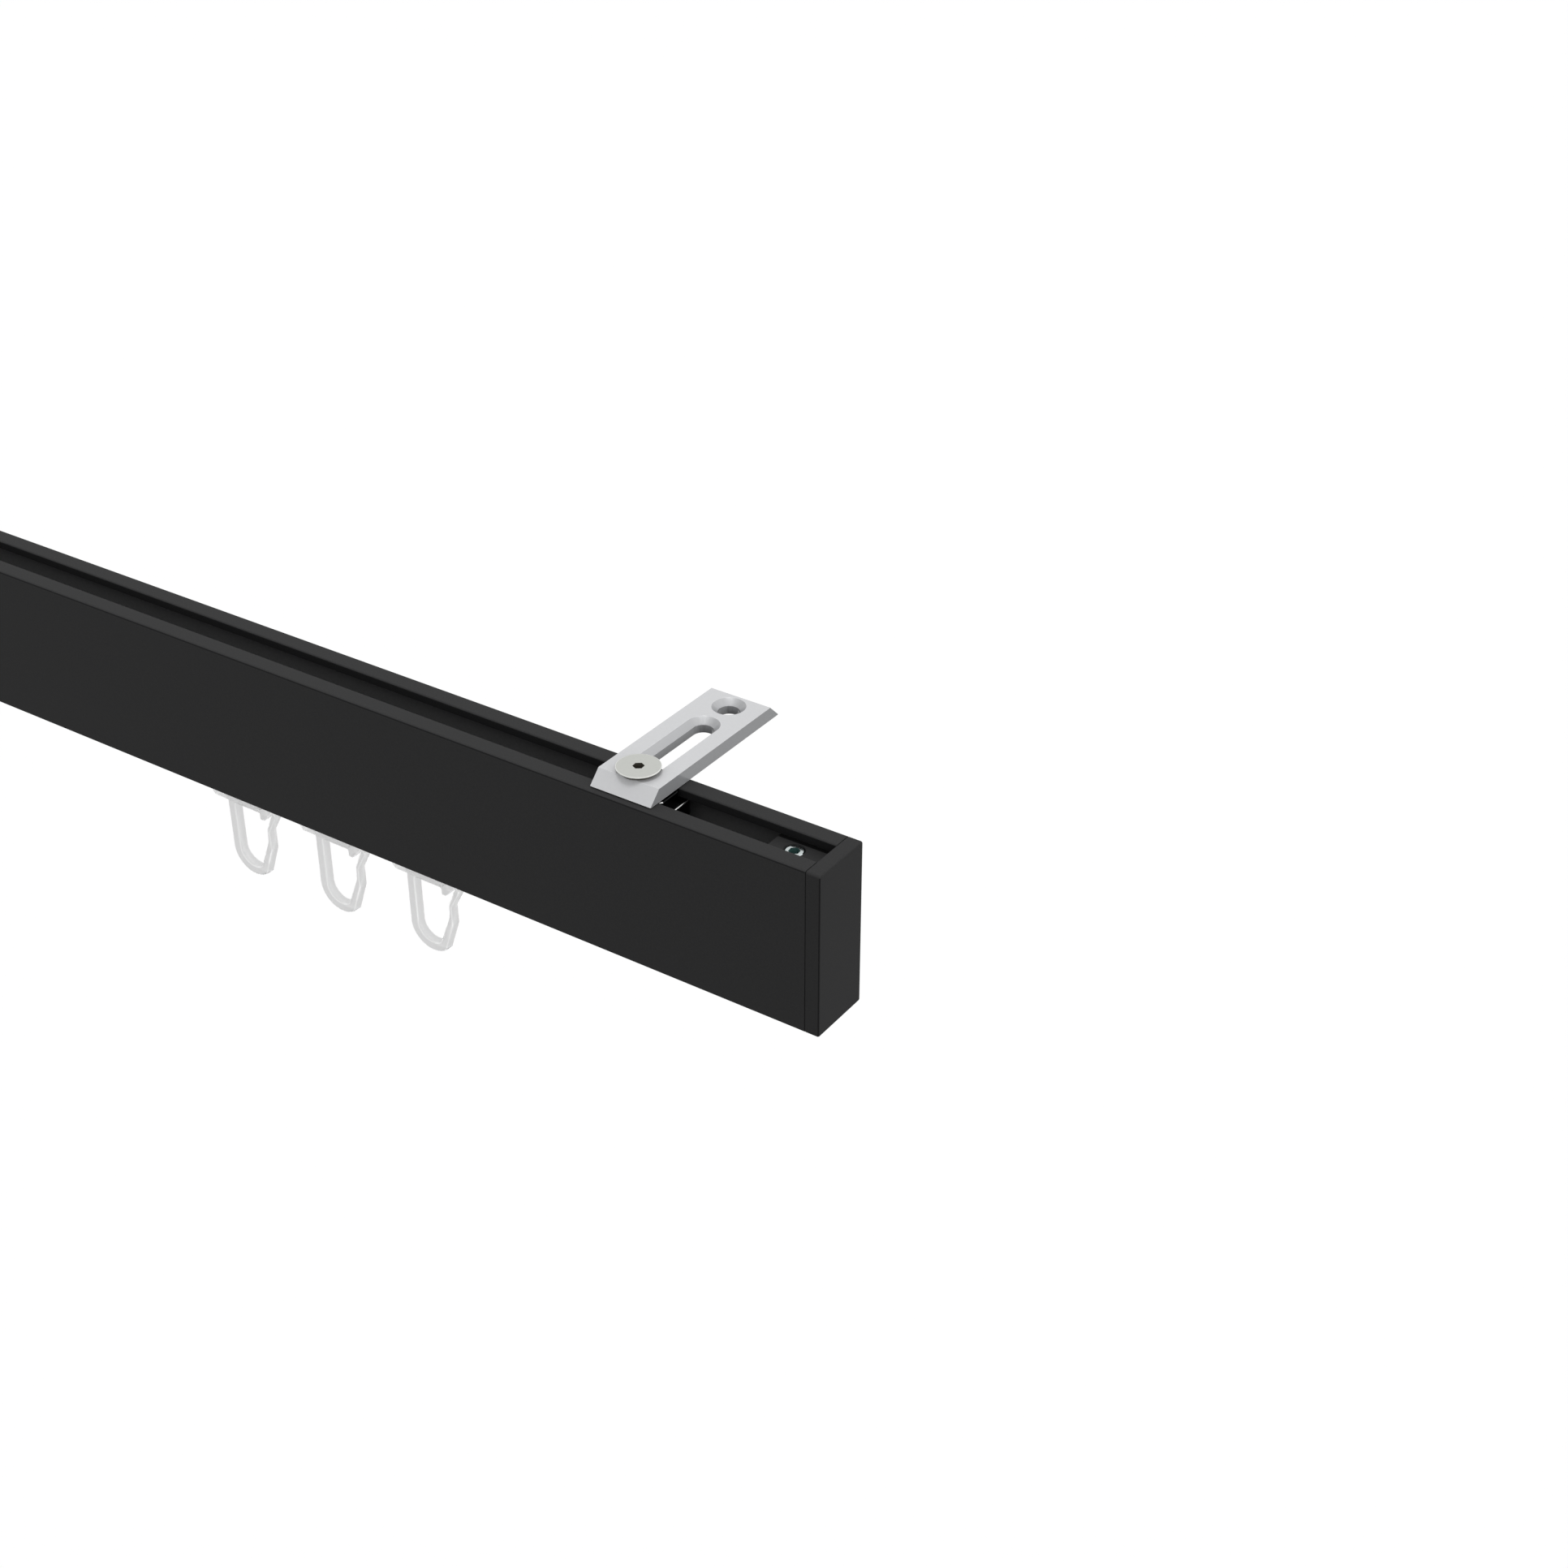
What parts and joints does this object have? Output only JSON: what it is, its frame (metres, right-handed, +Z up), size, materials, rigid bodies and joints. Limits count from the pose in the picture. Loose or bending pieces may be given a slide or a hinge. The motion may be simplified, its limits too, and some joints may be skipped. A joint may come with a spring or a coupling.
{
  "type": "curtain rod",
  "caption": "Straight slotted curtain rod with end caps, clamped bracket plates for a wall or ceiling, and sliding plastic hooks that carry the curtain.",
  "frame": {"origin": "middle of the rod's length, on the mid-plane of the rail's width, at its top face", "axes": "+X along the rod, +Y across the rod towards the wall, +Z up; the hooks hang towards -Z"},
  "size_m": [1, 0.0423, 0.0623],
  "materials": {
    "rail_coat": "matt black powder coat",
    "cap_coat": "matt black powder coat",
    "grub_steel": "zinc plated",
    "nut_steel": "zinc plated",
    "plate_metal": "satin, tumbled",
    "screw_steel": "zinc plated",
    "glider_plastic": "translucent white nylon"
  },
  "bodies": {
    "rail_body": {"rail": "rail_coat", "left_end_cap": "cap_coat", "right_end_cap": "cap_coat", "left_grub_screw": "grub_steel", "right_grub_screw": "grub_steel"},
    "left_nut_body": {"left_channel_nut": "nut_steel"},
    "left_screw_body": {"left_clamp_screw": "screw_steel"},
    "left_plate_body": {"left_bracket_plate": "plate_metal"},
    "right_nut_body": {"right_channel_nut": "nut_steel"},
    "right_screw_body": {"right_clamp_screw": "screw_steel"},
    "right_plate_body": {"right_bracket_plate": "plate_metal"},
    "glider_01_body": {"glider_01": "glider_plastic"},
    "glider_02_body": {"glider_02": "glider_plastic"},
    "glider_03_body": {"glider_03": "glider_plastic"},
    "glider_04_body": {"glider_04": "glider_plastic"},
    "glider_05_body": {"glider_05": "glider_plastic"},
    "glider_06_body": {"glider_06": "glider_plastic"},
    "glider_07_body": {"glider_07": "glider_plastic"},
    "glider_08_body": {"glider_08": "glider_plastic"},
    "glider_09_body": {"glider_09": "glider_plastic"},
    "glider_10_body": {"glider_10": "glider_plastic"}
  },
  "joints": [
    {"name": "left_bracket_slide", "type": "slide", "parent": "rail_body", "child": "left_nut_body", "axis": [1, 0, 0], "range_m": [-0.0198, 0.8929]},
    {"name": "left_bracket_swivel", "type": "hinge", "parent": "left_nut_body", "child": "left_screw_body", "pos_m": [-0.4557, 0, 0], "axis": [0, 0, -1], "continuous": true},
    {"name": "left_plate_reach", "type": "slide", "parent": "left_screw_body", "child": "left_plate_body", "axis": [0, 1, 0], "range_m": [-0.0201, 0]},
    {"name": "right_bracket_slide", "type": "slide", "parent": "rail_body", "child": "right_nut_body", "axis": [1, 0, 0], "range_m": [-0.8929, 0.0198]},
    {"name": "right_bracket_swivel", "type": "hinge", "parent": "right_nut_body", "child": "right_screw_body", "pos_m": [0.4557, 0, 0], "axis": [0, 0, 1], "continuous": true},
    {"name": "right_plate_reach", "type": "slide", "parent": "right_screw_body", "child": "right_plate_body", "axis": [0, 1, 0], "range_m": [-0.0201, 0]},
    {"name": "glider_01_slide", "type": "slide", "parent": "rail_body", "child": "glider_01_body", "axis": [1, 0, 0], "range_m": [-0.0755, 0.0108]},
    {"name": "glider_02_slide", "type": "slide", "parent": "rail_body", "child": "glider_02_body", "axis": [1, 0, 0], "range_m": [-0.0108, 0.0108]},
    {"name": "glider_03_slide", "type": "slide", "parent": "rail_body", "child": "glider_03_body", "axis": [1, 0, 0], "range_m": [-0.0108, 0.2992]},
    {"name": "glider_04_slide", "type": "slide", "parent": "rail_body", "child": "glider_04_body", "axis": [1, 0, 0], "range_m": [-0.2992, 0.0108]},
    {"name": "glider_05_slide", "type": "slide", "parent": "rail_body", "child": "glider_05_body", "axis": [1, 0, 0], "range_m": [-0.0108, 0.0108]},
    {"name": "glider_06_slide", "type": "slide", "parent": "rail_body", "child": "glider_06_body", "axis": [1, 0, 0], "range_m": [-0.0108, 0.0108]},
    {"name": "glider_07_slide", "type": "slide", "parent": "rail_body", "child": "glider_07_body", "axis": [1, 0, 0], "range_m": [-0.0108, 0.2992]},
    {"name": "glider_08_slide", "type": "slide", "parent": "rail_body", "child": "glider_08_body", "axis": [1, 0, 0], "range_m": [-0.2992, 0.0108]},
    {"name": "glider_09_slide", "type": "slide", "parent": "rail_body", "child": "glider_09_body", "axis": [1, 0, 0], "range_m": [-0.0108, 0.0108]},
    {"name": "glider_10_slide", "type": "slide", "parent": "rail_body", "child": "glider_10_body", "axis": [1, 0, 0], "range_m": [-0.0108, 0.0755]}
  ]
}
